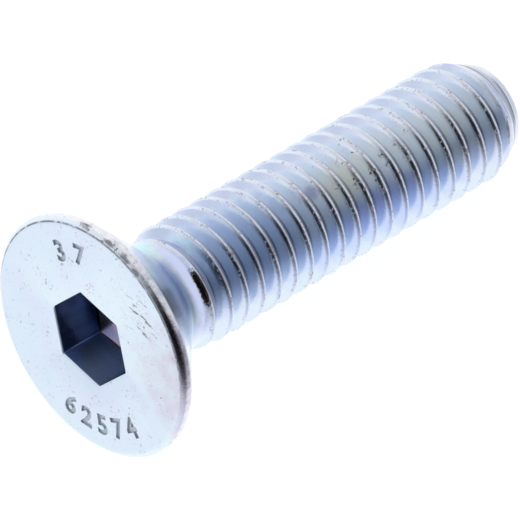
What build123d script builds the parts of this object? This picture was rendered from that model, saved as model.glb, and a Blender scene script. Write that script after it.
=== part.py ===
from build123d import *
from math import atan2, ceil, cos, floor, pi, radians, sin, tan
import os

# A countersunk screw with a hexagon socket, in millimetres and degrees. It is one piece of
# steel: a forged flush head with a hexagon socket, a plain neck, and a rolled metric thread
# that runs to the chamfered point. It is modelled upright, with the head's flat face at Z = 0
# and the point towards +Z, and then laid down on its rim and its last full thread crest, as
# the real screw comes to rest on a level surface at Z = 0.

# Driving dimensions
nominal_diameter = 6.0
crest_allowance = 0.15
pitch = 1.0
flank_angle = 60.0
crest_flat = 0.15
root_flat = 0.17
crest_lead = 0.95
screw_length = 25.0
head_diameter = 11.6
face_chamfer = 0.2
rim_land = 0.3
countersink_angle = 90.0
underhead_rounding = 0.4
neck_length = 0.9
rise_length = 0.45
runout_length = 0.85
point_chamfer_length = 1.3
point_chamfer_angle = 35.0
key_width = 4.0
socket_depth = 2.3
socket_floor_angle = 140.0
socket_turn = 39.0

# The cutting shapes go on this far past the surfaces that they cut
overlap = 0.1

# The thread is a sharp V cut back to a flat at its crest and a flat at its root
half_flank = tan(radians(flank_angle / 2))
sharp_depth = pitch / (2 * half_flank)
thread_depth = (pitch - crest_flat - root_flat) / (2 * half_flank)
crest_radius = (nominal_diameter - crest_allowance) / 2
root_radius = crest_radius - thread_depth

# The neck keeps the rod's diameter from before rolling. That is the thread's mean diameter,
# which a metric thread has at three eighths of the sharp V's depth.
mean_share = 3 / 8
neck_radius = nominal_diameter / 2 - mean_share * sharp_depth

# The head's height is taken where its cone meets the nominal diameter
cone_slope = tan(radians(countersink_angle / 2))
head_radius = head_diameter / 2
face_radius = head_radius - face_chamfer
land_end = face_chamfer + rim_land
head_height = land_end + (head_radius - nominal_diameter / 2) / cone_slope
cone_end = land_end + (head_radius - neck_radius) / cone_slope
neck_end = head_height + neck_length
rise_end = neck_end + rise_length
chamfer_start = screw_length - point_chamfer_length
point_radius = crest_radius - point_chamfer_length * tan(radians(point_chamfer_angle))

# The groove between two crests fades out towards the head on a cone, from full depth to the
# neck's surface. Its flanks go on past the crests.
groove_top = crest_radius + overlap
groove_half_root = root_flat / 2
groove_half_top = groove_half_root + (thread_depth + overlap) * half_flank
fade_slope = (neck_radius - root_radius) / runout_length
fade_top = groove_top + overlap
fade_bottom = root_radius - overlap
fade_start = neck_end - (fade_top - neck_radius) / fade_slope
fade_end = neck_end + (neck_radius - fade_bottom) / fade_slope

# It is swept along the helix in half turns, which follow one another round the screw from
# before the fade to past the point. At +X it lies midway between two crests, and the first
# whole crest there is a set lead past the neck.
turn_parts = 2
part_rise = pitch / turn_parts
part_turn = 360 / turn_parts
first_crest = neck_end + crest_lead
turns_before = ceil((first_crest - fade_start) / pitch)
groove_start = first_crest - turns_before * pitch - pitch / 2
groove_parts = ceil((screw_length - groove_start) / part_rise) + turn_parts
groove_end = groove_start + (groove_parts + turn_parts) * part_rise

with BuildPart() as groove_part:
    with BuildLine() as groove_path:
        Helix(pitch, part_rise, root_radius)
    with BuildSketch(Plane.XZ) as groove_section:
        with BuildLine():
            Polyline(
                (root_radius, -groove_half_root),
                (root_radius, groove_half_root),
                (groove_top, groove_half_top),
                (groove_top, -groove_half_top),
                close=True,
            )
        make_face()
    sweep(sections=groove_section.sketch, path=groove_path.line, is_frenet=True)

part_places = [
    Location((0, 0, groove_start + number * part_rise), (0, 0, number * part_turn))
    for number in range(groove_parts)
]

with BuildPart() as groove:
    with Locations(part_places):
        add(groove_part.part)
    with BuildSketch(Plane.XZ) as groove_reach:
        with BuildLine():
            Polyline(
                (fade_top, fade_start),
                (fade_bottom, fade_end),
                (fade_bottom, groove_end),
                (fade_top, groove_end),
                close=True,
            )
        make_face()
    revolve(axis=Axis.Z, mode=Mode.INTERSECT)

# The punch that forms the socket is a hexagon with a conical nose
hexagon_sides = 6
key_radius = key_width / 2 / cos(pi / hexagon_sides)
nose_length = key_radius / tan(radians(socket_floor_angle / 2))

with BuildPart() as punch:
    with BuildSketch(Plane.XY):
        RegularPolygon(radius=key_radius, side_count=hexagon_sides, rotation=socket_turn)
    extrude(amount=socket_depth + nose_length)
    with BuildSketch(Plane.XZ):
        with BuildLine():
            Polyline(
                (0, 0),
                (key_radius, 0),
                (key_radius, socket_depth),
                (0, socket_depth + nose_length),
                close=True,
            )
        make_face()
    revolve(axis=Axis.Z, mode=Mode.INTERSECT)

# The blank is turned about the screw's axis, and the groove and the socket are cut from it
with BuildPart() as upright_screw:
    with BuildSketch(Plane.XZ) as blank_section:
        with BuildLine():
            Polyline(
                (0, 0),
                (face_radius, 0),
                (head_radius, face_chamfer),
                (head_radius, land_end),
                (neck_radius, cone_end),
                (neck_radius, neck_end),
                (crest_radius, rise_end),
                (crest_radius, chamfer_start),
                (point_radius, screw_length),
                (0, screw_length),
                close=True,
            )
        make_face()
        underhead_corner = blank_section.vertices().sort_by_distance((neck_radius, cone_end))[0]
        fillet(underhead_corner, radius=underhead_rounding)
    revolve(axis=Axis.Z)
    add(groove.part, mode=Mode.SUBTRACT)
    add(punch.part, mode=Mode.SUBTRACT)

# Lying down, the screw touches the surface with the corner between its land and its cone,
# and with the edge of the last crest that the point's chamfer leaves whole
crests_before_chamfer = floor((chamfer_start - crest_flat / 2 - first_crest) / pitch)
rest_crest = first_crest + crests_before_chamfer * pitch + crest_flat / 2
rest_tilt = atan2(head_radius - crest_radius, rest_crest - land_end)

# The origin is on the surface, under the middle of the screw's length as it lies
face_height = land_end * sin(rest_tilt) + head_radius * cos(rest_tilt)
face_start = face_radius * sin(rest_tilt)
point_reach = screw_length * cos(rest_tilt) + point_radius * sin(rest_tilt)
resting_plane = Plane(
    origin=((face_start - point_reach) / 2, 0, face_height),
    x_dir=(-sin(rest_tilt), 0, -cos(rest_tilt)),
    z_dir=(cos(rest_tilt), 0, -sin(rest_tilt)),
)

with BuildPart(resting_plane) as countersunk_screw:
    add(upright_screw.part)
countersunk_screw.part.label = "countersunk_screw"

os.makedirs("parts", exist_ok=True)
export_step(countersunk_screw.part, "parts/countersunk_screw.step")
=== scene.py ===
"""A zinc plated countersunk socket screw, lying on its head's rim and its last thread crest.

The screw is modelled upright in millimetres, with the head's flat face at Z = 0 and the point
towards +Z, and is then laid down where the CAD node lies, in metres.
"""

import logging
import math
from dataclasses import dataclass, field
from enum import Enum
from functools import reduce

import bmesh
import bpy
from bmesh.types import BMEdge, BMesh, BMVert
from bpy.types import Node, NodeSocket
from mathutils import Euler, Matrix, Vector, noise


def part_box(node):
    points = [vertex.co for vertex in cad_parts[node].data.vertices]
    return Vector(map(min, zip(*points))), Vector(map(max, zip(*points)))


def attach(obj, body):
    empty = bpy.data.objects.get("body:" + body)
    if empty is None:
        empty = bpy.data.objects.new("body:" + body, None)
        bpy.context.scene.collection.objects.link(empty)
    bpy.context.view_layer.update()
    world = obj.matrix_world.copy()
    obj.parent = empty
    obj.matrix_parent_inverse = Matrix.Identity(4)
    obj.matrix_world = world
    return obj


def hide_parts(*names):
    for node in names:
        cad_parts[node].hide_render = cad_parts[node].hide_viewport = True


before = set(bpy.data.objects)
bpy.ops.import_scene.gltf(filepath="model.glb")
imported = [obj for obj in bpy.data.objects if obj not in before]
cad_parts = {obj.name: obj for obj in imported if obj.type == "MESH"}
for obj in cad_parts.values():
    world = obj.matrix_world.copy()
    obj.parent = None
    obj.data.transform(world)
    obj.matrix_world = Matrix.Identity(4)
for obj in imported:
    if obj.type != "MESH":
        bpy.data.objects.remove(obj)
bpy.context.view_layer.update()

log = logging.getLogger("socket_screw")

CAD_NODE = "countersunk_screw"
BODY = "root"

MILLIMETRE = 0.001
IMAGE_SIDE = 520
SENSOR_WIDTH = 36.0
MERGE_DISTANCE = 0.002
FINE_DISTANCE = 1e-4
LEAST_RADIUS = 1e-9
NECK_RADIUS = 2.65
SPIN_AXIS = Vector((0.0, 0.0, 1.0))
CENTRE = Vector((0.0, 0.0, 0.0))


class Finish(Enum):
    """The surfaces of the scene, by the name of their material."""

    ZINC_PLATE = "bright_zinc_plate"
    STUDIO_FLOOR = "white_studio_floor"


# A Step is where a soft step is 0 and where it is 1, and a Range is the values at its two ends.
# A Span is where a soft span starts, is full, is full no more and ends. Clouds have a scale and a
# detail, a Side has an azimuth and two cosines of the angle from it, and a Rounding has a setback
# in millimetres and a number of edges.
Colour = tuple[float, float, float, float]
Triple = tuple[float, float, float]
Step = tuple[float, float]
Range = tuple[float, float]
Span = tuple[float, float, float, float]
Clouds = tuple[float, float]
Side = tuple[float, float, float]
Rounding = tuple[float, int]

WHITE: Colour = (1.0, 1.0, 1.0, 1.0)


@dataclass
class NodeSheet:
    """Adds and joins the nodes of one tree. What it reads may be a socket or a plain value."""

    tree: bpy.types.NodeTree

    def add(self, kind: str, inputs: dict | None = None, **settings: object) -> Node:
        """Adds a node.

        Args:
            kind: the node's type.
            inputs: what its inputs read, by their names or numbers.
            settings: the node's own settings.

        Returns:
            The new node.
        """
        node = self.tree.nodes.new(kind)
        for name, value in settings.items():
            setattr(node, name, value)
        for place, source in (inputs or {}).items():
            if isinstance(source, NodeSocket):
                self.tree.links.new(source, node.inputs[place])
            else:
                node.inputs[place].default_value = source
        return node

    def math(self, operation: str, first: object, second: object = 0.0) -> NodeSocket:
        """Works out a sum of one or two values."""
        return self.add("ShaderNodeMath", {0: first, 1: second}, operation=operation).outputs[0]

    def vector_math(self, operation: str, place: object, fixed: Vector) -> Node:
        """Works on a place and a fixed vector."""
        return self.add("ShaderNodeVectorMath", {0: place, 1: fixed}, operation=operation)

    def product(self, *parts: object) -> NodeSocket:
        """Multiplies several values with each other."""
        return reduce(lambda total, part: self.math("MULTIPLY", total, part), parts)

    def highest(self, *parts: object) -> NodeSocket:
        """Takes the highest of several values."""
        return reduce(lambda total, part: self.math("MAXIMUM", total, part), parts)

    def less(self, value: object) -> NodeSocket:
        """Takes a value from 1."""
        return self.math("SUBTRACT", 1.0, value)

    def frayed(self, value: object, pattern: object, amount: float) -> NodeSocket:
        """Shifts a value to and fro by a pattern, by half the amount at most."""
        return self.math("ADD", value, self.product(self.math("SUBTRACT", pattern, 0.5), amount))

    def mix(self, share: object, first: object, second: object) -> NodeSocket:
        """Mixes two values by a share of the second."""
        return self.add("ShaderNodeMix", {0: share, 2: first, 3: second}).outputs[0]

    def blend(self, share: object, first: object, second: object, mode: str = "MIX") -> NodeSocket:
        """Blends two colours by a share of the second, in one of the Mix node's blend types."""
        inputs = {0: share, 6: first, 7: second}
        return self.add("ShaderNodeMix", inputs, data_type="RGBA", blend_type=mode).outputs[2]

    def stain(self, share: object, colour: object, tint: Colour) -> NodeSocket:
        """Multiplies a share of a colour by a tint."""
        return self.blend(share, colour, self.blend(1.0, colour, tint, "MULTIPLY"))

    def noise(self, place: object, scale: float, detail: float) -> NodeSocket:
        """Adds a cloud pattern, from 0 to 1, with so many clouds and finer layers."""
        inputs = {"Vector": place, "Scale": scale, "Detail": detail}
        return self.add("ShaderNodeTexNoise", inputs).outputs["Fac"]

    def stretched(self, place: object, turn: float, scale: Triple) -> NodeSocket:
        """Turns a place round the axis, in degrees, and scales it, to stretch a pattern."""
        inputs = {"Vector": place, "Rotation": (0.0, 0.0, math.radians(turn)), "Scale": scale}
        return self.add("ShaderNodeMapping", inputs).outputs["Vector"]

    def band(self, value: object, low: float, high: float) -> NodeSocket:
        """Adds a soft step, which is 0 at low and 1 at high."""
        inputs = {"Value": value, "From Min": low, "From Max": high}
        return self.add("ShaderNodeMapRange", inputs, interpolation_type="SMOOTHSTEP").outputs[0]

    def span(self, value: object, edges: Span) -> NodeSocket:
        """Adds a soft span, by where it starts, is full, is full no more and ends."""
        start, full, waning, end = edges
        return self.product(self.band(value, start, full), self.band(value, end, waning))


def heading(azimuth: float, elevation: float) -> Vector:
    """Works out a direction.

    Args:
        azimuth: its angle round Z from X, in degrees.
        elevation: its angle above the XY plane, in degrees.

    Returns:
        The unit vector.
    """
    turn, rise = math.radians(azimuth), math.radians(elevation)
    reach = math.cos(rise)
    return Vector((math.cos(turn) * reach, math.sin(turn) * reach, math.sin(rise)))


@dataclass(frozen=True)
class DimSide:
    """A side of the studio that gives less light, seen from the screw."""

    azimuth: float
    elevation: float
    inner: float
    outer: float
    tint: Colour

    def shade(self, sheet: NodeSheet, place: object, colour: object) -> NodeSocket:
        """Dims the surroundings by their angle from this side.

        Args:
            sheet: the world's node sheet.
            place: the socket that gives the direction.
            colour: the surroundings' colour so far.

        Returns:
            The dimmed colour.
        """
        middle = heading(self.azimuth, self.elevation)
        dot = sheet.vector_math("DOT_PRODUCT", place, middle).outputs["Value"]
        angle = sheet.math("ARCCOSINE", dot)
        share = sheet.band(angle, math.radians(self.outer), math.radians(self.inner))
        return sheet.stain(share, colour, self.tint)


def open_chain(mesh: BMesh, points: list[tuple[float, float]]) -> list:
    """Draws a chain of edges in the XZ half plane.

    Args:
        mesh: the mesh that gets the chain.
        points: (radius, height) of each corner, in millimetres.

    Returns:
        The chain's new vertices, in order.
    """
    corners = [mesh.verts.new((radius, 0.0, height)) for radius, height in points]
    for first, second in zip(corners, corners[1:]):
        mesh.edges.new((first, second))
    return corners


def round_corners(mesh: BMesh, places: list[Vector], rounding: Rounding) -> None:
    """Rounds corners of a chain of edges.

    Args:
        mesh: the mesh that holds the chain.
        places: where the rounded vertices are.
        rounding: how far along each edge a rounding starts, in millimetres, and how many edges
            its arc has.
    """
    setback, segments = rounding
    corners = [
        vertex
        for vertex in mesh.verts
        if any((vertex.co - place).length < MERGE_DISTANCE for place in places)
    ]
    bmesh.ops.bevel(
        mesh,
        geom=corners,
        offset=setback,
        offset_type="OFFSET",
        segments=segments,
        profile=0.5,
        affect="VERTICES",
        material=-1,
    )


def ring_edges(mesh: BMesh, height: float) -> list:
    """Finds the open rim that lies at one height.

    Args:
        mesh: the mesh that is searched.
        height: the rim's height, in millimetres.

    Returns:
        The rim's edges.
    """
    return [
        edge
        for edge in mesh.edges
        if len(edge.link_faces) < 2
        and all(abs(vertex.co.z - height) < MERGE_DISTANCE for vertex in edge.verts)
    ]


def set_radius(vertex: BMVert, radius: float) -> None:
    """Moves a vertex straight in or out from the screw's axis.

    Args:
        vertex: the vertex that is moved.
        radius: its new distance from the axis, in millimetres.
    """
    share = radius / max(vertex.co.xy.length, LEAST_RADIUS)
    vertex.co.x *= share
    vertex.co.y *= share


def smooth_step(value: float, low: float, high: float) -> float:
    """Returns a soft step of a value, from 0 at low to 1 at high."""
    share = min(max((value - low) / (high - low), 0.0), 1.0)
    return share * share * (3.0 - 2.0 * share)


def spin_all(mesh: BMesh, steps: int, climb: float = 0.0) -> None:
    """Spins a whole profile one turn round the screw's axis.

    Args:
        mesh: the mesh that holds the profile.
        steps: the number of steps in the turn.
        climb: how far the profile climbs in the turn, in millimetres.
    """
    bmesh.ops.spin(
        mesh,
        geom=mesh.verts[:] + mesh.edges[:],
        cent=CENTRE,
        axis=SPIN_AXIS,
        dvec=Vector((0.0, 0.0, climb / steps)),
        angle=math.tau,
        steps=steps,
        use_merge=not climb,
        use_duplicate=False,
    )


def extrude_rim(mesh: BMesh, edges: list) -> tuple[list, list]:
    """Extrudes a rim, on the spot.

    Args:
        mesh: the mesh that holds the rim.
        edges: the rim's edges.

    Returns:
        The new rim's vertices, and its edges.
    """
    grown = bmesh.ops.extrude_edge_only(mesh, edges=edges)["geom"]
    verts = [item for item in grown if isinstance(item, BMVert)]
    return verts, [item for item in grown if isinstance(item, BMEdge)]


@dataclass
class RolledThread:
    """The rolled metric thread, from the neck to the chamfered point."""

    pitch: float = 1.0
    crest_radius: float = 2.925
    root_radius: float = 2.336
    crest_flat: float = 0.15
    root_flat: float = 0.17
    flank_angle: float = 60.0
    flank_cuts: int = 4
    head_shoulder: Rounding = (0.105, 5)
    tip_shoulder: Rounding = (0.045, 3)
    root_corner: Rounding = (0.05, 3)
    first_crest: float = 4.15
    turns_below: int = 1
    turns: int = 24
    steps: int = 120
    neck_radius: float = NECK_RADIUS
    neck_end: float = 4.35
    rise_end: float = 5.55
    groove_start: float = 4.35
    groove_end: float = 5.0
    ramp_slope: float = 0.76
    ramp_turns: Step = (0.64, 1.0)
    chamfer_start: float = 23.2
    chamfer_angle: float = 26.5
    length: float = 25.0
    joint_height: float = 4.1
    wear_height: float = 0.012
    wear_depth: float = 0.06
    wear_scales: tuple[float, float] = (2.1, 11.0)
    wear_loss: float = 0.3
    end_rounding: float = 0.12
    end_rings: tuple[tuple[float, float], ...] = ((0.4, 0.25), (-0.5, 0.0))
    dimple_radius: float = 1.3
    dimple_depth: float = 0.08
    dimple_rings: tuple[tuple[float, float], ...] = ((1.0, 0.0), (0.7, 0.5), (0.35, 0.95))

    def draw_profile(self, mesh: BMesh) -> None:
        """Draws one pitch of the thread, from root to root, with its corners rounded.

        Args:
            mesh: the mesh that gets the profile.
        """
        half_pitch = self.pitch / 2
        half_crest = self.crest_flat / 2
        half_root = self.root_flat / 2
        crest = self.first_crest - self.turns_below * self.pitch
        points = [
            (self.root_radius, crest - half_pitch),
            (self.root_radius, crest - half_pitch + half_root),
            (self.crest_radius, crest - half_crest),
            (self.crest_radius, crest + half_crest),
            (self.root_radius, crest + half_pitch - half_root),
            (self.root_radius, crest + half_pitch),
        ]
        corners = open_chain(mesh, points)
        flanks = [
            mesh.edges.get((corners[1], corners[2])),
            mesh.edges.get((corners[3], corners[4])),
        ]
        places = [corner.co.copy() for corner in corners]
        bmesh.ops.subdivide_edges(mesh, edges=flanks, cuts=self.flank_cuts)
        round_corners(mesh, [places[2]], self.head_shoulder)
        round_corners(mesh, [places[3]], self.tip_shoulder)
        round_corners(mesh, [places[1], places[4]], self.root_corner)

    def build(self, mesh: BMesh) -> None:
        """Winds the profile up the rod, then shapes its two ends.

        Args:
            mesh: the empty mesh that gets the thread.
        """
        self.draw_profile(mesh)
        spin_all(mesh, self.steps, self.pitch)
        one_turn = mesh.verts[:] + mesh.edges[:] + mesh.faces[:]
        for turn in range(1, self.turns):
            copied = bmesh.ops.duplicate(mesh, geom=one_turn)["geom"]
            moved = [item for item in copied if isinstance(item, BMVert)]
            bmesh.ops.translate(mesh, verts=moved, vec=SPIN_AXIS * self.pitch * turn)
        bmesh.ops.remove_doubles(mesh, verts=mesh.verts[:], dist=MERGE_DISTANCE)
        for vertex in mesh.verts:
            set_radius(vertex, self.shaped_radius(vertex.co))
        self.trim(mesh, self.joint_height, -1.0)
        for edge in ring_edges(mesh, self.joint_height):
            for vertex in edge.verts:
                set_radius(vertex, self.neck_radius)
        self.trim(mesh, self.length - self.end_rounding, 1.0)
        self.close_point(mesh)

    def shaped_radius(self, place: Vector) -> float:
        """Works out where the run-out, the wear and the point leave the thread's surface.

        Args:
            place: a point of the plain thread, in millimetres.

        Returns:
            The radius that the finished screw has there.
        """
        radius, height = place.xy.length, place.z
        if height <= self.neck_end:
            return self.neck_radius
        groove = smooth_step(height, self.groove_start, self.groove_end)
        fade = self.neck_radius - groove * (self.neck_radius - self.root_radius)
        radius = max(radius, self.first_ramp(place))
        worn = smooth_step(radius, self.crest_radius - self.wear_depth, self.crest_radius)
        grown = smooth_step(height, self.neck_end, self.rise_end)
        radius = max(radius - (1.0 - grown) * (self.crest_radius - self.neck_radius), fade)
        waves = sum(noise.noise(place * scale) for scale in self.wear_scales)
        radius += worn * self.wear_height * (waves - self.wear_loss)
        past = height - self.chamfer_start
        chamfer = self.crest_radius - past * math.tan(math.radians(self.chamfer_angle))
        return min(radius, chamfer) if past > 0 else radius

    def first_ramp(self, place: Vector) -> float:
        """Works out the easy slope that leads up to the first crest from the neck.

        Args:
            place: a point of the plain thread, in millimetres.

        Returns:
            The radius of the slope there, or 0 away from it.
        """
        turn = (math.atan2(place.y, place.x) / math.tau) % 1.0
        ahead = self.first_crest + turn * self.pitch - self.crest_flat / 2 - place.z
        if not 0.0 < ahead < self.pitch / 2:
            return 0.0
        steep = math.tan(math.radians(self.flank_angle))
        grown = smooth_step(turn, *self.ramp_turns)
        return self.crest_radius - ahead * (self.ramp_slope + (steep - self.ramp_slope) * grown)

    def trim(self, mesh: BMesh, height: float, side: float) -> None:
        """Cuts the thread off square.

        Args:
            mesh: the mesh of the thread.
            height: where it is cut, in millimetres.
            side: 1.0 to clear what is above the cut, or -1.0 what is below it.
        """
        bmesh.ops.bisect_plane(
            mesh,
            geom=mesh.verts[:] + mesh.edges[:] + mesh.faces[:],
            dist=FINE_DISTANCE,
            plane_co=Vector((0.0, 0.0, height)),
            plane_no=Vector((0.0, 0.0, side)),
            clear_outer=True,
        )

    def close_point(self, mesh: BMesh) -> None:
        """Rounds the point's edge over and closes its end with a shallow dimple.

        Args:
            mesh: the mesh of the thread, cut off just under its end.
        """
        edges = ring_edges(mesh, self.length - self.end_rounding)
        flat_radius = self.end_radius() - self.end_rounding
        rings = [
            (flat_radius + self.end_rounding * out, self.length - self.end_rounding * drop)
            for out, drop in self.end_rings
        ]
        rings += [
            (self.dimple_radius * share, self.length - self.dimple_depth * drop)
            for share, drop in self.dimple_rings
        ]
        for radius, height in rings:
            verts, edges = extrude_rim(mesh, edges)
            for vertex in verts:
                set_radius(vertex, radius)
                vertex.co.z = height
        bmesh.ops.edgeloop_fill(mesh, edges=edges)

    def end_radius(self) -> float:
        """Returns the radius at which the chamfer reaches the end, in millimetres."""
        run = self.length - self.chamfer_start
        return self.crest_radius - run * math.tan(math.radians(self.chamfer_angle))


@dataclass
class HexagonSocket:
    """The punched hexagon in the head's face, with its conical floor."""

    key_width: float = 4.0
    depth: float = 2.3
    floor_angle: float = 140.0
    turn: float = 39.0
    corner: Rounding = (0.07, 3)
    side_cuts: int = 11
    mouth_spread: float = 0.10
    mouth_rings: tuple[tuple[float, float], ...] = ((0.045, 0.012), (0.012, 0.045), (0.0, 0.1))
    floor_rings: tuple[float, ...] = (0.8, 0.75, 0.67, 0.5)
    offset: Triple = (0.08, 0.01, 0.0)

    def corner_radius(self) -> float:
        """Returns the distance of a corner from the axis, in millimetres."""
        return self.key_width / math.sqrt(3.0)

    def floor_height(self, radius: float) -> float:
        """Returns the floor's depth at a radius, in millimetres."""
        slope = 1.0 / math.tan(math.radians(self.floor_angle / 2))
        return self.depth + (self.corner_radius() - radius) * slope

    def build(self, mesh: BMesh) -> list:
        """Builds the walls and the floor, down from the face.

        Args:
            mesh: the mesh of the head.

        Returns:
            The edges of the mouth.
        """
        before = set(mesh.edges)
        mouth_radius = self.corner_radius() + self.mouth_spread
        circle = bmesh.ops.create_circle(mesh, cap_ends=False, radius=mouth_radius, segments=6)
        made = circle["verts"]
        turn = Matrix.Rotation(math.radians(self.turn) - math.pi / 2, 3, "Z")
        bmesh.ops.rotate(mesh, cent=CENTRE, matrix=turn, verts=made)
        corners = [vertex.co.copy() for vertex in made]
        sides = list({edge for vertex in made for edge in vertex.link_edges})
        bmesh.ops.subdivide_edges(mesh, edges=sides, cuts=self.side_cuts)
        round_corners(mesh, corners, self.corner)
        mouth = [edge for edge in mesh.edges if edge not in before]
        edges, full = mouth, mouth_radius
        for spread, height in self.mouth_rings:
            share = (self.corner_radius() + spread) / full
            edges = self.draw_in(mesh, edges, share, height)
            full *= share
        for share in (1.0, *self.floor_rings):
            edges = self.draw_in(mesh, edges, share, None)
        bmesh.ops.edgeloop_fill(mesh, edges=edges)
        reach = mouth_radius + MERGE_DISTANCE
        grown = [vertex for vertex in mesh.verts if vertex.co.xy.length < reach]
        bmesh.ops.translate(mesh, vec=Vector(self.offset), verts=grown)
        return mouth

    def draw_in(
        self, mesh: BMesh, edges: list, share: float, height: float | None
    ) -> list:
        """Extrudes a rim towards the axis or down the wall.

        Args:
            mesh: the mesh of the head.
            edges: the rim's edges.
            share: the new rim's size as a share of the old one's.
            height: the new rim's depth, or None to set it on the floor's cone.

        Returns:
            The new rim's edges.
        """
        verts, rim = extrude_rim(mesh, edges)
        for vertex in verts:
            vertex.co.xy *= share
            vertex.co.z = self.floor_height(vertex.co.xy.length) if height is None else height
        return rim


@dataclass(frozen=True)
class StampedNumber:
    """A plain number stamped in the face, its digits set round the axis."""

    text: str
    height: float
    radius: float
    angle: float
    step: float
    tops_out: bool
    depth: float = 0.09
    boldness: float = 0.055
    arc_steps: int = 3

    def digit_outline(self, digit: str) -> bpy.types.Mesh:
        """Draws one digit as a flat mesh round the origin, in millimetres.

        Args:
            digit: the digit that is drawn.

        Returns:
            A mesh that the caller removes.
        """
        curve = bpy.data.curves.new("stamped_digit", "FONT")
        curve.body = digit
        curve.size = self.height
        curve.offset = self.boldness
        curve.align_x = "CENTER"
        curve.align_y = "CENTER"
        curve.resolution_u = self.arc_steps
        holder = bpy.data.objects.new("stamped_digit", curve)
        bpy.context.scene.collection.objects.link(holder)
        bpy.context.view_layer.update()
        flat = bpy.data.meshes.new_from_object(holder)
        bpy.data.objects.remove(holder)
        bpy.data.curves.remove(curve)
        return flat

    def stamp(self, mesh: BMesh) -> list:
        """Sinks the number into the face.

        Args:
            mesh: the mesh of the head, before its face is filled.

        Returns:
            The edges of the digits' outlines in the face.
        """
        flip = Matrix.Rotation(math.pi, 4, "X")
        tilt = Matrix.Rotation(math.radians(90.0 if self.tops_out else -90.0), 4, "Z")
        turn = self.step if self.tops_out else -self.step
        start = self.angle - turn * (len(self.text) - 1) / 2
        top = []
        for index, digit in enumerate(self.text):
            angle = Matrix.Rotation(math.radians(start + turn * index), 4, "Z")
            flat = self.digit_outline(digit)
            flat.transform(angle @ Matrix.Translation((self.radius, 0.0, 0.0)) @ tilt @ flip)
            top += self.sink(mesh, flat)
            bpy.data.meshes.remove(flat)
        return top

    def sink(self, mesh: BMesh, flat: bpy.types.Mesh) -> list:
        """Sinks one digit into the face.

        Args:
            mesh: the mesh of the head.
            flat: the digit's flat mesh.

        Returns:
            The edges of its outline in the face.
        """
        before = set(mesh.edges)
        mesh.from_mesh(flat)
        made = [edge for edge in mesh.edges if edge not in before]
        inner = [edge for edge in made if len(edge.link_faces) > 1]
        faces = list({face for edge in made for face in edge.link_faces})
        bmesh.ops.delete(mesh, geom=faces, context="FACES_ONLY")
        bmesh.ops.delete(mesh, geom=inner, context="EDGES")
        top = [edge for edge in mesh.edges if edge not in before and edge.is_valid]
        verts, bottom = extrude_rim(mesh, top)
        bmesh.ops.translate(mesh, verts=verts, vec=SPIN_AXIS * self.depth)
        bmesh.ops.triangle_fill(mesh, edges=bottom, use_beauty=True)
        return top


@dataclass
class FlushHead:
    """The forged head: its face, rim, countersunk cone and neck."""

    radius: float = 5.8
    face_radius: float = 5.6
    face_chamfer: float = 0.2
    land_end: float = 0.5
    neck_radius: float = NECK_RADIUS
    cone_end: float = 3.625
    joint_height: float = 3.85
    face_corner: Rounding = (0.03, 2)
    rim_corner: Rounding = (0.05, 3)
    land_corner: Rounding = (0.09, 3)
    neck_corner: Rounding = (0.17, 6)
    face_margin: float = 0.15
    cone_cuts: int = 6
    steps: int = 240
    socket: HexagonSocket = field(default_factory=HexagonSocket)
    numbers: tuple[StampedNumber, ...] = (
        StampedNumber("37", 1.35, 4.15, 156.0, 17.0, tops_out=True),
        StampedNumber("62574", 1.35, 4.4, -17.0, 13.0, tops_out=False),
    )

    def build(self, mesh: BMesh) -> None:
        """Builds the head, open where the thread joins it.

        Args:
            mesh: the empty mesh that gets the head.
        """
        points = [
            (self.face_radius - self.face_margin, 0.0),
            (self.face_radius, 0.0),
            (self.radius, self.face_chamfer),
            (self.radius, self.land_end),
            (self.neck_radius, self.cone_end),
            (self.neck_radius, self.joint_height),
        ]
        corners = open_chain(mesh, points)
        cone = mesh.edges.get((corners[3], corners[4]))
        places = [corner.co.copy() for corner in corners]
        bmesh.ops.subdivide_edges(mesh, edges=[cone], cuts=self.cone_cuts)
        roundings = (self.face_corner, self.rim_corner, self.land_corner, self.neck_corner)
        for place, rounding in zip(places[1:], roundings):
            round_corners(mesh, [place], rounding)
        spin_all(mesh, self.steps)
        bmesh.ops.remove_doubles(mesh, verts=mesh.verts[:], dist=FINE_DISTANCE)
        edges = ring_edges(mesh, 0.0)
        edges += self.socket.build(mesh)
        for number in self.numbers:
            edges += number.stamp(mesh)
        bmesh.ops.triangle_fill(mesh, edges=edges, use_beauty=True)


@dataclass
class RestingPlace:
    """Where the screw lies: on its rim's lower corner and its last whole crest."""

    tilt: float = 7.2103

    def matrix(self, head: FlushHead) -> Matrix:
        """Works out the lie from the CAD node's box.

        Args:
            head: the head that the screw rests on.

        Returns:
            The matrix from the upright screw in millimetres to its place in metres.
        """
        low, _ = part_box(CAD_NODE)
        sine, cosine = math.sin(math.radians(self.tilt)), math.cos(math.radians(self.tilt))
        rise = cosine * head.radius + sine * head.land_end
        start = Vector((low.x + sine * head.face_radius * MILLIMETRE, 0.0, rise * MILLIMETRE))
        across = Vector((-sine, 0.0, -cosine))
        along = Vector((cosine, 0.0, -sine))
        side = along.cross(across)
        turned = Matrix((across, side, along)).transposed().to_4x4()
        return Matrix.Translation(start) @ turned @ Matrix.Scale(MILLIMETRE, 4)


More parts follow.
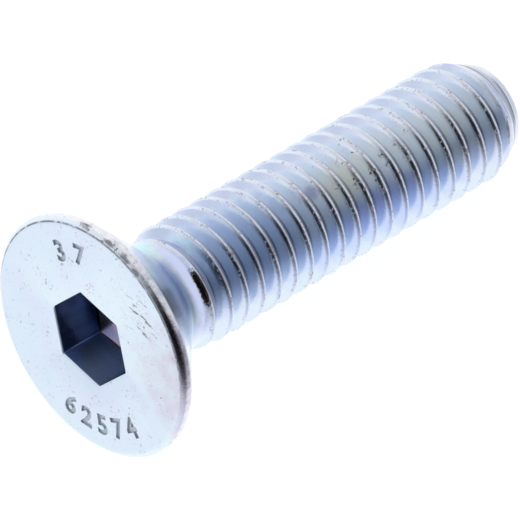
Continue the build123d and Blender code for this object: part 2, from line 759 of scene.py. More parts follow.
@dataclass
class PlateSheet(NodeSheet):
    """The plate's node sheet, whose sockets say where on the upright screw a point lies.

    They are its spot, radius and height, how far along the axis it is from the crest, how far it
    is on the thread, on the face and in the socket, and a fine cloud pattern and a finer grain.
    Lengths are in millimetres.
    """

    lie: Matrix
    thread: RolledThread
    thread_start: Step = (4.3, 4.6)
    face_depth: Step = (0.06, 0.02)
    socket_side: Step = (2.46, 2.4)
    socket_depths: Span = (0.03, 0.1, 3.2, 3.4)
    fine_clouds: Clouds = (9.0, 4.0)
    grain_clouds: Clouds = (30.0, 3.0)

    def __post_init__(self) -> None:
        """Turns Object coordinates into the upright screw's and measures them."""
        upright = self.lie.inverted()
        inputs = {
            "Vector": self.add("ShaderNodeTexCoord").outputs["Object"],
            "Location": upright.to_translation(),
            "Rotation": upright.to_euler("XYZ"),
            "Scale": (1 / MILLIMETRE,) * 3,
        }
        self.spot = self.add("ShaderNodeMapping", inputs).outputs["Vector"]
        parts = self.add("ShaderNodeSeparateXYZ", {0: self.spot}).outputs
        self.height = parts["Z"]
        squares = [self.math("POWER", parts[axis], 2.0) for axis in "XY"]
        self.radius = self.math("SQRT", self.math("ADD", *squares))
        turn = self.math("ARCTAN2", parts["Y"], parts["X"])
        lead = self.math("SUBTRACT", self.height, self.math("DIVIDE", turn, math.tau))
        half_pitch = self.thread.pitch / 2
        ahead = self.math("ADD", lead, half_pitch - self.thread.first_crest)
        self.across = self.math("SUBTRACT", self.math("FRACT", ahead), half_pitch)
        self.on_thread = self.band(self.height, *self.thread_start)
        self.on_face = self.band(self.height, *self.face_depth)
        near_axis = self.band(self.radius, *self.socket_side)
        self.in_socket = self.product(near_axis, self.span(self.height, self.socket_depths))
        self.fine = self.noise(self.spot, *self.fine_clouds)
        self.grain = self.noise(self.spot, *self.grain_clouds)

    def outwards(self, azimuth: float) -> NodeSocket:
        """Measures how far out towards an azimuth a point lies."""
        return self.vector_math("DOT_PRODUCT", self.spot, heading(azimuth, 0.0)).outputs["Value"]

    def side(self, azimuth: float, low: float, high: float) -> NodeSocket:
        """Finds the screw's side round an azimuth, between two cosines of the angle from it."""
        return self.band(self.math("DIVIDE", self.outwards(azimuth), self.radius), low, high)


@dataclass(frozen=True)
class Specks:
    """The peaks of a cloud pattern."""

    scale: float
    detail: float
    low: float
    high: float

    def pick(self, sheet: PlateSheet, place: NodeSocket | None = None) -> NodeSocket:
        """Measures how far a point is in a speck, on the screw or at a stretched place."""
        clouds = sheet.noise(place or sheet.spot, self.scale, self.detail)
        return sheet.band(clouds, self.low, self.high)


PATCH_EDGE: Step = (1.0, 0.3)


@dataclass(frozen=True)
class Patch:
    """A soft-edged patch of the screw's surface, round one of its points.

    It is given by that point, by its reach across the axis and along it, and by its fraying.
    """

    azimuth: float
    radius: float
    height: float
    reach: float
    length: float
    fraying: float = 0.8

    def share(self, sheet: PlateSheet, edge: NodeSocket | None = None) -> NodeSocket:
        """Measures how far inside the patch a point is.

        Args:
            sheet: the plate's node sheet.
            edge: a cloud pattern that breaks up the patch's edge, or None for the fine one.

        Returns:
            The share, from 0 outside to 1 at the middle.
        """
        scale = Vector((1 / self.reach, 1 / self.reach, 1 / self.length))
        centre = heading(self.azimuth, 0.0) * self.radius + SPIN_AXIS * self.height
        scaled = sheet.vector_math("MULTIPLY", sheet.spot, scale).outputs["Vector"]
        gap = sheet.vector_math("DISTANCE", scaled, centre * scale).outputs["Value"]
        return sheet.band(sheet.frayed(gap, edge or sheet.fine, self.fraying), *PATCH_EDGE)


NECK = Patch(-142.0, 2.7, 4.37, 3.6, 0.62, 0.5)
# The lower side of the rim, where painted shade darkens the land and holds its scuffs back.
LOWER_RIM_SHADE = Patch(-114.0, 5.8, 0.33, 2.0, 0.4, 0.6)
LAST_CREST = Patch(-150.0, 2.69, 23.5, 1.0, 0.35, 0.4)
POINT = Patch(-142.0, 2.3, 24.5, 4.0, 0.8)


@dataclass(frozen=True)
class Tint:
    """A patch of another colour on the plate."""

    patch: Patch
    colour: Colour
    strength: float

    def lay(self, sheet: PlateSheet, edge: object, colour: object) -> NodeSocket:
        """Blends the patch into a colour.

        Args:
            sheet: the plate's node sheet.
            edge: a cloud pattern, from 0 to 1, that breaks up the patch's edge.
            colour: the colour under the patch.

        Returns:
            The blended colour.
        """
        share = sheet.product(self.patch.share(sheet, edge), self.strength)
        return sheet.blend(share, colour, self.colour)


@dataclass(frozen=True)
class PassivatedPlate:
    """The plate's colour: the passivation's blue, lilac and green clouds, a painted cyan highlight
    and painted shade.
    """

    pale: Colour = (0.79, 0.93, 1.0, 1.0)
    lilac: Colour = (0.80, 0.89, 1.0, 1.0)
    green: Colour = (0.74, 0.92, 0.96, 1.0)
    thread_blue: Colour = (0.76, 0.86, 0.98, 1.0)
    painted_root_shade: Colour = (0.72, 0.75, 0.82, 1.0)
    lilac_clouds: Specks = Specks(0.4, 2.0, 0.4, 0.65)
    patches: Clouds = (1.3, 3.0)
    green_edge: Step = (0.5, 0.7)
    green_strength: float = 0.5
    thread_start: Step = (4.2, 5.0)
    whitening: float = 0.08
    root_side: Step = (2.40, 2.35)
    root_end: Step = (24.6, 24.2)
    tints: tuple[Tint, ...] = (
        Tint(Patch(-145.0, 2.6, 7.4, 3.3, 5.2), (0.58, 0.71, 0.90, 1.0), 1.0),
        Tint(Patch(-152.0, 2.6, 17.5, 1.7, 7.5), (0.82, 0.91, 0.97, 1.0), 1.0),
        # painted highlight: a cyan patch on the cone and neck's upper side, where they catch a
        # bright reflection
        Tint(Patch(160.0, 2.8, 3.5, 1.4, 1.1), (0.60, 0.96, 1.0, 1.0), 0.9),
        Tint(Patch(-110.0, 2.8, 3.2, 1.4, 1.0), (0.72, 0.95, 0.90, 1.0), 0.6),
        Tint(Patch(-150.0, 5.0, 1.1, 2.6, 0.7, 0.3), (0.66, 0.78, 0.68, 1.0), 0.6),
        Tint(Patch(-139.0, 3.8, 2.5, 3.3, 2.4, 0.25), (0.17, 0.29, 0.46, 1.0), 0.95),
        Tint(Patch(-137.0, 2.7, 3.55, 4.4, 0.5, 0.2), (0.46, 0.60, 0.86, 1.0), 0.6),
        Tint(Patch(-150.0, 2.6, 14.0, 1.6, 2.0), (0.84, 0.88, 0.80, 1.0), 0.6),
        Tint(Patch(-130.0, 2.6, 20.5, 1.8, 2.2), (0.76, 0.84, 0.84, 1.0), 0.5),
        Tint(Patch(-95.0, 2.6, 15.0, 1.8, 8.0), (0.56, 0.72, 0.985, 1.0), 0.7),
        Tint(Patch(-108.0, 2.6, 15.5, 1.2, 3.5), (0.62, 0.68, 0.98, 1.0), 0.35),
        Tint(Patch(-157.0, 2.5, 12.42, 0.5, 0.3, 0.6), (0.40, 0.42, 0.64, 1.0), 0.8),
        Tint(NECK, (0.61, 0.69, 0.96, 1.0), 0.95),
        Tint(Patch(-100.0, 5.8, 0.3, 4.5, 0.6), (0.70, 0.68, 0.76, 1.0), 0.9),
        # painted shade on the lower side of the rim's land
        Tint(LOWER_RIM_SHADE, (0.40, 0.38, 0.46, 1.0), 0.8),
        Tint(LAST_CREST, (0.66, 0.74, 0.88, 1.0), 0.8),
        Tint(POINT, (0.86, 0.92, 1.0, 1.0), 0.9),
    )

    def colour(self, sheet: PlateSheet) -> NodeSocket:
        """Mixes the plate's colour.

        Args:
            sheet: the plate's node sheet.

        Returns:
            The colour.
        """
        patchy = sheet.noise(sheet.spot, *self.patches)
        colour = sheet.blend(self.lilac_clouds.pick(sheet), self.pale, self.lilac)
        colour = sheet.blend(sheet.band(sheet.height, *self.thread_start), colour, self.thread_blue)
        greenish = sheet.product(sheet.band(patchy, *self.green_edge), self.green_strength)
        colour = sheet.blend(greenish, colour, self.green)
        for tint in self.tints:
            colour = tint.lay(sheet, patchy, colour)
        return sheet.blend(sheet.product(sheet.fine, self.whitening), colour, WHITE)

    def root(self, sheet: PlateSheet) -> NodeSocket:
        """Finds where painted shade darkens the plate along the thread's root."""
        near_root = sheet.band(sheet.radius, *self.root_side)
        return sheet.product(near_root, sheet.on_thread, sheet.band(sheet.height, *self.root_end))


@dataclass(frozen=True)
class SocketPlate:
    """The socket's dark, streaked walls, one of them painted lighter as if lit, and its bronzed
    floor.
    """

    wall: Colour = (0.20, 0.30, 0.44, 1.0)
    streak: Colour = (0.27, 0.38, 0.56, 1.0)
    painted_sheen: Colour = (0.42, 0.62, 1.0, 1.0)
    bronze: Colour = (0.50, 0.43, 0.52, 1.0)
    umber: Colour = (0.10, 0.09, 0.12, 1.0)
    streak_scale: Triple = (1.0, 1.0, 0.12)
    streaks: Specks = Specks(4.0, 4.0, 0.35, 0.7)
    lit_azimuth: float = 9.0
    lit_reach: Step = (2.02, 2.06)
    glow_azimuth: float = -25.0
    glow_reach: Step = (1.2, 2.0)
    glow: Range = (0.07, 0.2)
    dark_floor: Side = (129.0, -0.06, 0.06)
    floor_depth: Step = (2.22, 2.3)

    def lit_wall(self, sheet: PlateSheet) -> NodeSocket:
        """Finds the wall that is painted lighter, as if lit."""
        return sheet.band(sheet.outwards(self.lit_azimuth), *self.lit_reach)

    def colour(self, sheet: PlateSheet) -> NodeSocket:
        """Mixes the socket's colour.

        Args:
            sheet: the plate's node sheet.

        Returns:
            The colour.
        """
        streaks = self.streaks.pick(sheet, sheet.stretched(sheet.spot, 0.0, self.streak_scale))
        colour = sheet.blend(streaks, self.wall, self.streak)
        # painted light: the lit wall gets a lighter blue sheen colour
        colour = sheet.blend(self.lit_wall(sheet), colour, self.painted_sheen)
        floor = sheet.blend(sheet.side(*self.dark_floor), self.bronze, self.umber)
        return sheet.blend(sheet.band(sheet.height, *self.floor_depth), colour, floor)

    def haze(self, sheet: PlateSheet) -> NodeSocket:
        """Measures the soft light on the lit wall, from 0 to 1."""
        glow = sheet.band(sheet.outwards(self.glow_azimuth), *self.glow_reach)
        return sheet.product(sheet.in_socket, self.lit_wall(sheet), sheet.mix(glow, *self.glow))


@dataclass(frozen=True)
class CrestWear:
    """The worn line along the crests, with its sparkle, a patch where it is darker, and rust."""

    worn: Colour = (0.72, 0.80, 0.94, 1.0)
    bright: Colour = (0.94, 0.96, 1.0, 1.0)
    darker_line: Colour = (0.40, 0.40, 0.44, 1.0)
    rust: Colour = (0.30, 0.19, 0.18, 1.0)
    line: Span = (-0.03, 0.0, 0.06, 0.085)
    fraying: float = 0.07
    side: Step = (2.5, 2.6)
    sparkle: Step = (0.5, 0.62)
    darker_patch: Patch = Patch(-132.0, 2.9, 7.0, 1.3, 5.0)
    darker_strength: float = 0.8
    rusty: Specks = Specks(1.1, 2.0, 0.52, 0.60)
    rust_strength: float = 0.9
    flecks: Step = (0.50, 0.60)

    def worn_line(self, sheet: PlateSheet) -> NodeSocket:
        """Measures how far the plate is worn through, from 0 to 1."""
        line = sheet.span(sheet.frayed(sheet.across, sheet.fine, self.fraying), self.line)
        return sheet.product(line, sheet.band(sheet.radius, *self.side), sheet.on_thread)

    def colour(self, sheet: PlateSheet) -> NodeSocket:
        """Mixes the worn line's colour.

        Args:
            sheet: the plate's node sheet.

        Returns:
            The colour.
        """
        sparkle = sheet.blend(sheet.band(sheet.grain, *self.sparkle), self.worn, self.bright)
        # the worn line is darker over one patch of the crests
        dimmed = sheet.product(self.darker_patch.share(sheet), self.darker_strength)
        return sheet.blend(dimmed, sparkle, self.darker_line)

    def rust_flecks(self, sheet: PlateSheet) -> NodeSocket:
        """Measures how rusty the worn line is, from 0 to 1."""
        rusty = sheet.product(self.rusty.pick(sheet), self.rust_strength)
        return sheet.product(sheet.band(sheet.fine, *self.flecks), rusty)


@dataclass(frozen=True)
class RimWear:
    """The scuffed land round the head's rim, and the painted shade on the face's chamfer beside it.
    """

    scuffed: Colour = (0.97, 0.95, 1.0, 1.0)
    painted_chamfer_shade: Colour = (0.20, 0.17, 0.19, 1.0)
    land: Span = (0.17, 0.2, 0.5, 0.62)
    side: Step = (5.6, 5.7)
    scuffs: Specks = Specks(3.0, 4.0, 0.4, 0.6)
    scuff_strength: Range = (0.35, 0.8)
    shade_hold_back: float = 0.6
    shade_patch: Patch = Patch(-119.0, 5.75, 0.16, 2.9, 0.21)
    shade_side: Step = (5.5, 5.56)
    shade_breakup: Step = (0.42, 0.5)
    shade_strength: Range = (0.75, 1.0)
    upper_side: Side = (160.0, 0.8, 0.97)
    whiteness: Range = (0.5, 0.95)

    def worn_land(self, sheet: PlateSheet) -> NodeSocket:
        """Measures how scuffed the land is.

        Args:
            sheet: the plate's node sheet.

        Returns:
            The share, from 0 to 1.
        """
        side = sheet.band(sheet.radius, *self.side)
        scuffs = sheet.mix(self.scuffs.pick(sheet), *self.scuff_strength)
        # the scuffs are held back under the painted shade on the lower rim
        outside_shade = sheet.less(sheet.product(LOWER_RIM_SHADE.share(sheet), self.shade_hold_back))
        return sheet.product(sheet.span(sheet.height, self.land), side, scuffs, outside_shade)

    def painted_shade_share(self, sheet: PlateSheet) -> NodeSocket:
        """Measures how far the painted shade covers the face's chamfer.

        Args:
            sheet: the plate's node sheet.

        Returns:
            The share, from 0 to 1.
        """
        # painted shade: a ragged dark band on the face's chamfer, on the lower side of the rim
        side = sheet.band(sheet.radius, *self.shade_side)
        strength = sheet.mix(sheet.band(sheet.fine, *self.shade_breakup), *self.shade_strength)
        return sheet.product(self.shade_patch.share(sheet), side, strength)

    def haze(self, sheet: PlateSheet, worn: object, painted_chamfer_shade: object) -> NodeSocket:
        """Measures how white the worn land looks where the painted shade leaves it clear."""
        white = sheet.mix(sheet.side(*self.upper_side), *self.whiteness)
        return sheet.product(worn, white, sheet.less(painted_chamfer_shade))


@dataclass(frozen=True)
class RunOut:
    """A painted dark reflection where the first crest grows out of the neck: black, broken by brown
    stain.
    """

    painted_reflection_black: Colour = (0.07, 0.055, 0.05, 1.0)
    brown_stain: Colour = (0.22, 0.15, 0.13, 1.0)
    brown_stain_edge: Step = (0.5, 0.62)
    patch: Patch = Patch(-130.5, 2.78, 4.66, 1.25, 0.46)
    patch_edge: Step = (0.0, 0.7)
    head_edge: Step = (-0.34, -0.16)
    crest_edge: Step = (0.04, 0.0)
    fraying: float = 0.35

    def share(self, sheet: PlateSheet) -> NodeSocket:
        """Measures how far the painted dark reflection covers a point.

        Args:
            sheet: the plate's node sheet.

        Returns:
            The share, from 0 to 1.
        """
        start = sheet.band(sheet.frayed(sheet.across, sheet.fine, self.fraying), *self.head_edge)
        end = sheet.band(sheet.across, *self.crest_edge)
        return sheet.product(sheet.band(self.patch.share(sheet), *self.patch_edge), start, end)

    def colour(self, sheet: PlateSheet) -> NodeSocket:
        """Mixes the painted black reflection with the brown stain."""
        return sheet.blend(sheet.band(sheet.fine, *self.brown_stain_edge), self.painted_reflection_black, self.brown_stain)


@dataclass(frozen=True)
class DirtAndShade:
    """The pits, stains, burrs, turned lines, painted burr shadow and painted digit shade, all
    darker than the plate.
    """

    colour: Colour = (0.05, 0.045, 0.055, 1.0)
    crowding: Specks = Specks(0.9, 3.0, 0.47, 0.66)
    small_pits: Specks = Specks(12.0, 3.0, 0.61, 0.67)
    small_crowding: Range = (0.03, 0.75)
    large_pits: Specks = Specks(5.0, 6.0, 0.61, 0.65)
    large_crowding: Range = (0.1, 0.8)
    pit_strength: Range = (0.06, 0.7)
    scratches: Specks = Specks(5.0, 5.0, 0.59, 0.62)
    scratch_turn: float = 35.0
    scratch_scale: Triple = (1.0, 0.35, 1.0)
    scratched: Patch = Patch(-137.0, 4.2, 0.0, 1.5, 1.0)
    scratch_strength: float = 0.75
    patches: Clouds = (0.9, 2.0)
    near_crest: Span = (-0.32, -0.18, 0.0, 0.08)
    stained: Patch = Patch(-150.0, 2.8, 15.0, 2.3, 4.5)
    on_crest: Span = (-0.16, -0.11, -0.01, 0.03)
    crest_strength: float = 0.35
    blotches: Specks = Specks(7.0, 5.0, 0.54, 0.60)
    blotch_groups: Specks = Specks(1.9, 2.0, 0.50, 0.56)
    crest_side: Step = (2.55, 2.7)
    # painted shadow of the burrs along the face's edge
    burr_shadow_radii: Span = (5.54, 5.58, 5.61, 5.66)
    burr_shadow_side: Side = (176.0, -0.2, 0.5)
    burr_shadow_breaks: Specks = Specks(2.5, 6.0, 0.26, 0.56)
    burr_shadow_strength: float = 0.8
    rim_side: Step = (5.5, 5.6)
    rim_end: Step = (0.8, 0.6)
    torn_side: Side = (-172.0, 0.88, 0.98)
    torn_strength: float = 0.75
    land_start: Step = (0.17, 0.22)
    land_strength: float = 0.3
    near_face: Step = (0.3, 0.2)
    scuff_strength: Range = (0.25, 1.0)
    scuffs: Specks = Specks(3.4, 6.0, 0.55, 0.60)
    burrs: tuple[Patch, ...] = (
        Patch(-113.0, 2.68, 23.68, 0.9, 0.12, 1.2),
        Patch(169.5, 5.80, 0.24, 0.4, 0.10, 1.2),
        Patch(-176.0, 5.73, 0.13, 0.4, 0.12, 1.2),
        Patch(-166.0, 5.70, 0.10, 0.5, 0.10, 1.2),
        Patch(-157.0, 5.67, 0.07, 0.4, 0.10, 1.2),
    )
    burr_clouds: Clouds = (4.0, 3.0)
    burr_strength: float = 0.8
    # painted shade in the stamped digits
    digit_depths: Span = (0.02, 0.07, 0.12, 0.16)
    digit_radii: Span = (2.8, 2.9, 5.4, 5.5)
    digit_strength: float = 0.45
    turned_rate: float = 38.0
    turned_edge: Step = (0.5, 0.95)
    turned_heights: Span = (23.7, 23.9, 24.7, 24.8)
    turned_strength: float = 0.4
    seam_heights: Span = (24.36, 24.42, 24.48, 24.54)
    seam_side: Side = (-138.0, 0.8, 0.95)
    seam_strength: Range = (0.5, 1.0)

    def share(self, sheet: PlateSheet) -> NodeSocket:
        """Gathers all the dirt and the painted shade.

        Args:
            sheet: the plate's node sheet.

        Returns:
            How dark a point is, from 0 to 1.
        """
        patchy = sheet.noise(sheet.spot, *self.patches)
        head = sheet.highest(self.rim_marks(sheet), self.digit_shade(sheet))
        shank = sheet.highest(self.crest_stains(sheet, patchy), self.point_lines(sheet, patchy))
        return sheet.highest(self.pits(sheet, patchy), head, shank)

    def pits(self, sheet: PlateSheet, patchy: object) -> NodeSocket:
        """Scatters the pits, and the face's short scratches.

        Args:
            sheet: the plate's node sheet.
            patchy: a broad cloud pattern.

        Returns:
            How dark a point is, from 0 to 1.
        """
        dense = self.crowding.pick(sheet)
        small = sheet.product(self.small_pits.pick(sheet), sheet.mix(dense, *self.small_crowding))
        large = sheet.product(self.large_pits.pick(sheet), sheet.mix(dense, *self.large_crowding))
        strength = sheet.mix(sheet.on_face, *self.pit_strength)
        pits = sheet.product(sheet.highest(small, large), strength, sheet.less(sheet.in_socket))
        place = sheet.stretched(sheet.spot, self.scratch_turn, self.scratch_scale)
        scratched = sheet.product(self.scratched.share(sheet, patchy), self.scratch_strength)
        return sheet.highest(pits, sheet.product(self.scratches.pick(sheet, place), scratched))

    def crest_stains(self, sheet: PlateSheet, patchy: object) -> NodeSocket:
        """Blots the crests, and the flanks beside them.

        Args:
            sheet: the plate's node sheet.
            patchy: a broad cloud pattern.

        Returns:
            How dark a point is, from 0 to 1.
        """
        stained = self.stained.share(sheet, patchy)
        beside = sheet.product(sheet.span(sheet.across, self.near_crest), stained)
        on_crest = sheet.product(sheet.span(sheet.across, self.on_crest), self.crest_strength)
        blotch = sheet.product(self.blotches.pick(sheet), self.blotch_groups.pick(sheet))
        ridge = sheet.product(sheet.on_thread, sheet.band(sheet.radius, *self.crest_side))
        return sheet.product(blotch, sheet.highest(beside, on_crest), ridge)

    def rim_marks(self, sheet: PlateSheet) -> NodeSocket:
        """Draws the painted shadow of the burrs along the face's edge, the rim's scuffs and the
        burrs.

        Args:
            sheet: the plate's node sheet.

        Returns:
            How dark a point is, from 0 to 1.
        """
        # painted shadow: a thin dark line round the face's edge, strongest on the upper side, under
        # the burrs
        line = sheet.product(sheet.span(sheet.radius, self.burr_shadow_radii), sheet.side(*self.burr_shadow_side))
        line = sheet.product(line, self.burr_shadow_breaks.pick(sheet), self.burr_shadow_strength)
        land = sheet.product(sheet.band(sheet.height, *self.land_start), self.land_strength)
        strength = sheet.mix(sheet.side(*self.torn_side), land, self.torn_strength)
        end = sheet.band(sheet.height, *self.rim_end)
        rim = sheet.product(sheet.band(sheet.radius, *self.rim_side), end, strength)
        near_face = sheet.mix(sheet.band(sheet.height, *self.near_face), *self.scuff_strength)
        scuffs = sheet.product(self.scuffs.pick(sheet), rim, near_face)
        ragged = sheet.noise(sheet.spot, *self.burr_clouds)
        burrs = sheet.highest(*(patch.share(sheet, ragged) for patch in self.burrs))
        return sheet.highest(line, scuffs, sheet.product(burrs, self.burr_strength))

    def digit_shade(self, sheet: PlateSheet) -> NodeSocket:
        """Paints shade into the walls and floors of the stamped digits."""
        ring = sheet.product(sheet.span(sheet.radius, self.digit_radii), self.digit_strength)
        return sheet.product(sheet.span(sheet.height, self.digit_depths), ring)

    def point_lines(self, sheet: PlateSheet, patchy: object) -> NodeSocket:
        """Draws the fine turned lines and the seam on the point's chamfer.

        Args:
            sheet: the plate's node sheet.
            patchy: a broad cloud pattern.

        Returns:
            How dark a point is, from 0 to 1.
        """
        waves = sheet.math("SINE", sheet.product(sheet.height, self.turned_rate))
        lines = sheet.product(sheet.band(waves, *self.turned_edge), self.turned_strength)
        lines = sheet.product(lines, sheet.span(sheet.height, self.turned_heights))
        ring = sheet.span(sheet.height, self.seam_heights)
        strength = sheet.mix(patchy, *self.seam_strength)
        return sheet.highest(lines, sheet.product(ring, sheet.side(*self.seam_side), strength))


@dataclass(frozen=True)
class ZincPlate:
    """Bright zinc plate with a blue passivation, worn and stained, with painted shade, a painted
    highlight, painted light in the socket and a painted dark reflection.
    """

    plate: PassivatedPlate = PassivatedPlate()
    socket: SocketPlate = SocketPlate()
    crests: CrestWear = CrestWear()
    rim: RimWear = RimWear()
    run_out: RunOut = RunOut()
    dirt_and_shade: DirtAndShade = DirtAndShade()
    haze_clouds: Clouds = (1.0, 3.0)
    shoulder: Span = (-0.22, -0.17, -0.03, 0.0)
    shoulder_side: Step = (2.68, 2.76)
    hazes: tuple[tuple[Patch, float], ...] = (
        (Patch(-152.0, 2.6, 18.0, 1.7, 8.0), 0.12),
        (NECK, 0.95),
        (POINT, 0.45),
    )
    blunting: float = 0.5
    crest_dullness: float = 0.5
    dirt_dullness: float = 0.95
    smooth_to_face: Range = (0.16, 0.30)
    shoulder_roughness: float = 0.07
    worn_roughness: float = 0.40
    dirt_roughness: float = 0.3
    grain_roughness: float = 0.05
    fine_relief: float = 0.004
    grain_relief: float = 0.001
    pit_relief: float = 0.006

    def material(self, lie: Matrix, thread: RolledThread) -> bpy.types.Material:
        """Makes the plate's material.

        Args:
            lie: the matrix from the upright screw in millimetres to its place in metres.
            thread: the thread that the plate covers.

        Returns:
            The new material.
        """
        made = bpy.data.materials.new(Finish.ZINC_PLATE.value)
        made.use_nodes = True
        sheet = PlateSheet(made.node_tree, lie, thread)
        shader = sheet.tree.nodes["Principled BSDF"]
        crest = self.crests.worn_line(sheet)
        rim = self.rim.worn_land(sheet)
        painted_chamfer_shade = self.rim.painted_shade_share(sheet)
        dirt_and_shade = self.dirt_and_shade.share(sheet)
        painted_dark_reflection = self.run_out.share(sheet)
        flecks = sheet.product(crest, self.crests.rust_flecks(sheet))

        colour = self.plate.colour(sheet)
        colour = sheet.blend(sheet.in_socket, colour, self.socket.colour(sheet))
        # painted shade: darkens the plate in the thread's root, where shade falls in the groove
        colour = sheet.stain(self.plate.root(sheet), colour, self.plate.painted_root_shade)
        colour = sheet.blend(crest, colour, self.crests.colour(sheet))
        colour = sheet.blend(rim, colour, self.rim.scuffed)
        # painted shade: darkens the face's chamfer on the lower side of the rim
        colour = sheet.stain(painted_chamfer_shade, colour, self.rim.painted_chamfer_shade)
        colour = sheet.blend(flecks, colour, self.crests.rust)
        # dirt, with the painted shadow along the face's edge and the painted shade in the digits
        colour = sheet.blend(dirt_and_shade, colour, self.dirt_and_shade.colour)
        # painted dark reflection: the black run-out patch stands in for the studio's dark side
        # reflected there, broken by brown stain
        colour = sheet.blend(painted_dark_reflection, colour, self.run_out.colour(sheet))

        shoulder = sheet.product(sheet.span(sheet.across, self.shoulder), sheet.on_thread)
        shoulder = sheet.product(shoulder, sheet.band(sheet.radius, *self.shoulder_side))
        haze = self.plate_haze(sheet, sheet.highest(shoulder, painted_dark_reflection))
        haze = sheet.highest(haze, self.socket.haze(sheet), self.rim.haze(sheet, rim, painted_chamfer_shade))
        dull = sheet.product(crest, self.crest_dullness)
        dull = sheet.highest(haze, dull, sheet.product(dirt_and_shade, self.dirt_dullness))

        rough = sheet.mix(sheet.on_face, *self.smooth_to_face)
        rough = sheet.mix(shoulder, rough, self.shoulder_roughness)
        rough = sheet.mix(sheet.highest(crest, rim), rough, self.worn_roughness)
        rough = sheet.math("ADD", rough, sheet.product(dirt_and_shade, self.dirt_roughness))
        rough = sheet.math("ADD", rough, sheet.product(sheet.grain, self.grain_roughness))

        relief = sheet.product(sheet.fine, self.fine_relief)
        relief = sheet.math("ADD", relief, sheet.product(sheet.grain, self.grain_relief))
        relief = sheet.math("SUBTRACT", relief, sheet.product(dirt_and_shade, self.pit_relief))
        bump = {"Strength": 1.0, "Distance": MILLIMETRE, "Height": relief}
        inputs = {
            "Base Color": colour,
            "Metallic": sheet.less(dull),
            "Roughness": rough,
            "Normal": sheet.add("ShaderNodeBump", bump).outputs[0],
        }
        for name, source in inputs.items():
            sheet.tree.links.new(source, shader.inputs[name])
        return made

    def plate_haze(self, sheet: PlateSheet, clear: object) -> NodeSocket:
        """Measures the milky haze over the plate.

        Args:
            sheet: the plate's node sheet.
            clear: how far a point is kept clear of it.

        Returns:
            The haze, from 0 to 1.
        """
        clouds = sheet.noise(sheet.spot, *self.haze_clouds)
        patches = (
            sheet.product(patch.share(sheet, clouds), strength) for patch, strength in self.hazes
        )
        haze = sheet.product(sheet.highest(*patches), sheet.less(clear))
        return sheet.highest(haze, sheet.product(LAST_CREST.share(sheet, clouds), self.blunting))


@dataclass
class SocketScrew:
    """The whole screw, one piece of steel."""

    head: FlushHead = field(default_factory=FlushHead)
    thread: RolledThread = field(default_factory=RolledThread)
    lie: RestingPlace = field(default_factory=RestingPlace)
    finish: ZincPlate = field(default_factory=ZincPlate)
    crease_angle: float = 40.0

    def build(self) -> bpy.types.Object:
        """Builds the screw's object, which stands for the CAD node.

        Returns:
            The new object.
        """
        data = bpy.data.meshes.new("plated_screw")
        mesh = self.shape()
        mesh.to_mesh(data)
        mesh.free()
        self.dress(data)
        screw = bpy.data.objects.new("plated_screw", data)
        bpy.context.scene.collection.objects.link(screw)
        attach(screw, BODY)
        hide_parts(CAD_NODE)
        return screw

    def dress(self, data: bpy.types.Mesh) -> None:
        """Gives the screw's mesh its finish."""
        data.materials.append(self.finish.material(self.lie.matrix(self.head), self.thread))

    def shape(self) -> BMesh:
        """Shapes the whole screw as one closed shell and lays it down.

        Returns:
            The shell, in metres.
        """
        mesh = bmesh.new()
        self.thread.build(mesh)
        log.info("thread: %d faces", len(mesh.faces))
        head_mesh = bmesh.new()
        self.head.build(head_mesh)
        log.info("head: %d faces", len(head_mesh.faces))
        shell = bpy.data.meshes.new("head_shell")
        head_mesh.to_mesh(shell)
        head_mesh.free()
        mesh.from_mesh(shell)
        bpy.data.meshes.remove(shell)
        seam = ring_edges(mesh, self.head.joint_height) + ring_edges(mesh, self.thread.joint_height)
        bmesh.ops.bridge_loops(mesh, edges=seam)
        bmesh.ops.recalc_face_normals(mesh, faces=mesh.faces[:])
        for face in mesh.faces:
            face.smooth = True
        for edge in mesh.edges:
            edge.smooth = edge.calc_face_angle(0.0) < math.radians(self.crease_angle)
        mesh.transform(self.lie.matrix(self.head))
        open_edges = sum(1 for edge in mesh.edges if len(edge.link_faces) != 2)
        log.info("screw: %d faces, %d open edges", len(mesh.faces), open_edges)
        return mesh


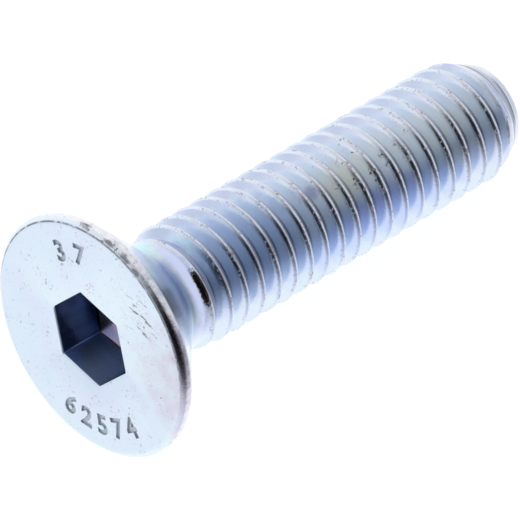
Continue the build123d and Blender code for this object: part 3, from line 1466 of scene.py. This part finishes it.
@dataclass
class Studio:
    """The plain white studio: floor, surroundings and camera."""

    floor_size: float = 6.0
    aim: Triple = (-5.175, -3.467, 8.199)
    azimuth: float = 225.34
    elevation: float = 45.86
    distance: float = 427.0
    focal_pixels: float = 9812.0
    clip: Range = (0.01, 20.0)
    floor_glow: float = 0.94
    floor_grey: Colour = (0.1, 0.1, 0.1, 1.0)
    surroundings: Colour = (1.30, 1.24, 1.36, 1.0)
    dim_sides: tuple[DimSide, ...] = (
        DimSide(205.4, 11.2, 4.8, 46.4, (0.02, 0.05, 0.07, 1.0)),
        DimSide(235.2, 21.6, 3.9, 64.3, (0.13, 0.09, 0.08, 1.0)),
        DimSide(271.3, 16.5, -13.8, 149.7, (0.13, 0.16, 0.22, 1.0)),
        DimSide(345.5, 62.8, 65.6, 112.3, (0.77, 0.75, 0.68, 1.0)),
        DimSide(136.0, -9.0, -13.7, 55.3, (0.28, 0.33, 0.37, 1.0)),
        DimSide(352.5, 2.8, 25.7, 35.9, (0.58, 0.65, 0.82, 1.0)),
        DimSide(228.0, 44.0, 8.0, 36.0, (0.3, 0.3, 0.3, 1.0)),
    )

    def build(self) -> None:
        """Sets up the floor, the surroundings and the camera."""
        self.lay_floor()
        self.light()
        self.stand_camera()

    def lay_floor(self) -> None:
        """Lays the white floor that the screw rests on."""
        mesh = bmesh.new()
        bmesh.ops.create_grid(mesh, x_segments=1, y_segments=1, size=self.floor_size / 2)
        data = bpy.data.meshes.new("studio_floor")
        mesh.to_mesh(data)
        mesh.free()
        floor = bpy.data.objects.new("studio_floor", data)
        bpy.context.scene.collection.objects.link(floor)
        material = bpy.data.materials.new(Finish.STUDIO_FLOOR.value)
        material.use_nodes = True
        material.node_tree.nodes.clear()
        sheet = NodeSheet(material.node_tree)
        glow = sheet.add("ShaderNodeEmission", {"Strength": self.floor_glow})
        paper = sheet.add("ShaderNodeBsdfDiffuse", {"Color": self.floor_grey})
        both = sheet.add("ShaderNodeAddShader", {0: paper.outputs[0], 1: glow.outputs[0]})
        sheet.add("ShaderNodeOutputMaterial", {0: both.outputs[0]})
        data.materials.append(material)
        floor.visible_glossy = False
        floor.visible_shadow = False

    def light(self) -> None:
        """Makes the soft surroundings, which are white behind everything."""
        world = bpy.data.worlds.new("white_studio")
        bpy.context.scene.world = world
        world.use_nodes = True
        world.node_tree.nodes.clear()
        sheet = NodeSheet(world.node_tree)
        place = sheet.add("ShaderNodeTexCoord").outputs["Generated"]
        colour = self.surroundings
        for side in self.dim_sides:
            colour = side.shade(sheet, place, colour)
        colour = sheet.blend(1.0, colour, WHITE, "DARKEN")
        rays = sheet.add("ShaderNodeLightPath").outputs
        camera = rays["Is Camera Ray"]
        seen = sheet.highest(camera, rays["Is Glossy Ray"], rays["Is Transmission Ray"])
        backdrop = {"Color": sheet.blend(camera, colour, WHITE)}
        shown = sheet.add("ShaderNodeBackground", backdrop).outputs[0]
        soft = sheet.add("ShaderNodeBackground", {"Color": WHITE}).outputs[0]
        mixed = sheet.add("ShaderNodeMixShader", {0: seen, 1: soft, 2: shown}).outputs[0]
        sheet.add("ShaderNodeOutputWorld", {"Surface": mixed})

    def stand_camera(self) -> None:
        """Stands the camera at its place, looking at the screw."""
        data = bpy.data.cameras.new("studio_camera")
        data.sensor_fit = "HORIZONTAL"
        data.sensor_width = SENSOR_WIDTH
        data.lens = self.focal_pixels * SENSOR_WIDTH / IMAGE_SIDE
        data.clip_start, data.clip_end = self.clip
        camera = bpy.data.objects.new("studio_camera", data)
        bpy.context.scene.collection.objects.link(camera)
        away = heading(self.azimuth, self.elevation)
        camera.location = (Vector(self.aim) + away * self.distance) * MILLIMETRE
        lean = math.pi / 2 - math.radians(self.elevation)
        camera.rotation_euler = Euler((lean, 0.0, math.radians(self.azimuth) + math.pi / 2))
        bpy.context.scene.camera = camera
        bpy.context.scene.view_settings.view_transform = "Standard"


def main() -> None:
    """Builds the screw and its studio."""
    logging.basicConfig(level=logging.INFO, format="%(name)s: %(message)s")
    screw = SocketScrew().build()
    log.info("built %s", screw.name)
    Studio().build()
    log.info("built the studio")
    bpy.context.view_layer.update()


if __name__ == "__main__":
    main()
